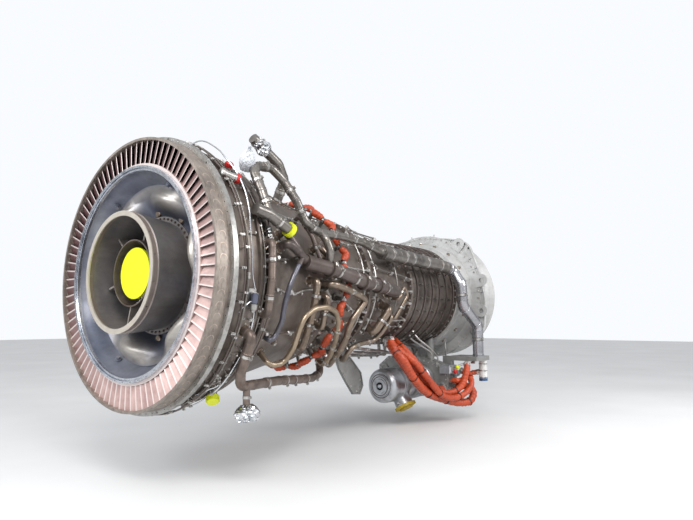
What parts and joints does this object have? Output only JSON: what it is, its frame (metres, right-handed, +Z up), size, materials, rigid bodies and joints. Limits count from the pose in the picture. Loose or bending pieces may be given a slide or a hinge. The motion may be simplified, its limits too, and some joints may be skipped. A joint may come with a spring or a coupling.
{
  "type": "gas turbine, the gas generator section of an aircraft-derived engine",
  "caption": "Gas generator section of an industrial gas turbine, with its rear nozzle ring, open rear frame, cases, pipework, gearbox and inlet.",
  "frame": {"origin": "centre of the rear flange's bolting face, on the engine axis", "axes": "+X forward along the engine axis towards the inlet, +Z up"},
  "size_m": [3.77, 1.6035, 1.9188],
  "materials": {
    "bright_steel": "machined, satin",
    "case_steel": "heat-tinted, dull",
    "frame_steel": "heat-tinted blue-grey, satin",
    "tan_steel": "heat-tinted tan, satin",
    "vane_alloy": "pinkish coated alloy, satin",
    "warm_case": "warm grey, matte",
    "cast_grey": "cast, matte",
    "dark_steel": "dark, dull",
    "yellow_cap": "fluorescent yellow, satin",
    "orange_sleeve": "orange sleeve, satin",
    "silver_pipe": "polished",
    "filter_white": "white, satin",
    "blue_hose": "grey-blue braid, satin",
    "mustard_cap": "dark yellow, matte"
  },
  "bodies": {
    "root": {"rear_flange": "bright_steel", "nozzle_outer_band": "tan_steel", "nozzle_vanes": "vane_alloy", "nozzle_inner_band": "tan_steel", "seal_ring": "bright_steel", "frame_hub": "frame_steel", "rear_drum": "tan_steel", "drum_ribs": "case_steel", "sump_tube": "case_steel", "sump_cap": "yellow_cap", "turbine_frame_case": "case_steel", "frame_struts": "dark_steel", "turbine_case": "case_steel", "combustor_case": "case_steel", "compressor_rear_case": "case_steel", "compressor_front_case": "case_steel", "vane_rings": "case_steel", "vane_levers": "case_steel", "front_frame": "warm_case", "bellmouth": "warm_case", "nose_cone": "warm_case", "inlet_struts": "warm_case", "fuel_nozzles": "case_steel", "fuel_manifold": "orange_sleeve", "bleed_tube": "tan_steel", "tee_cap": "yellow_cap", "top_stub": "dark_steel", "side_manifold": "dark_steel", "cooling_tubes": "tan_steel", "loop_pipe": "tan_steel", "drain_manifold": "case_steel", "side_tube": "case_steel", "drain_hose": "blue_hose", "compressor_tubes": "tan_steel", "oil_lines": "bright_steel", "far_tubes": "tan_steel", "polished_pipe": "silver_pipe", "orange_hoses": "orange_sleeve", "gearbox": "cast_grey", "pumps": "cast_grey", "starter": "cast_grey", "starter_cap": "mustard_cap", "oil_filter": "filter_white", "hanging_plate": "cast_grey", "lug_plates": "warm_case", "dish_bosses": "frame_steel", "frame_probes": "bright_steel", "ring_tube": "dark_steel"}
  },
  "joints": []
}
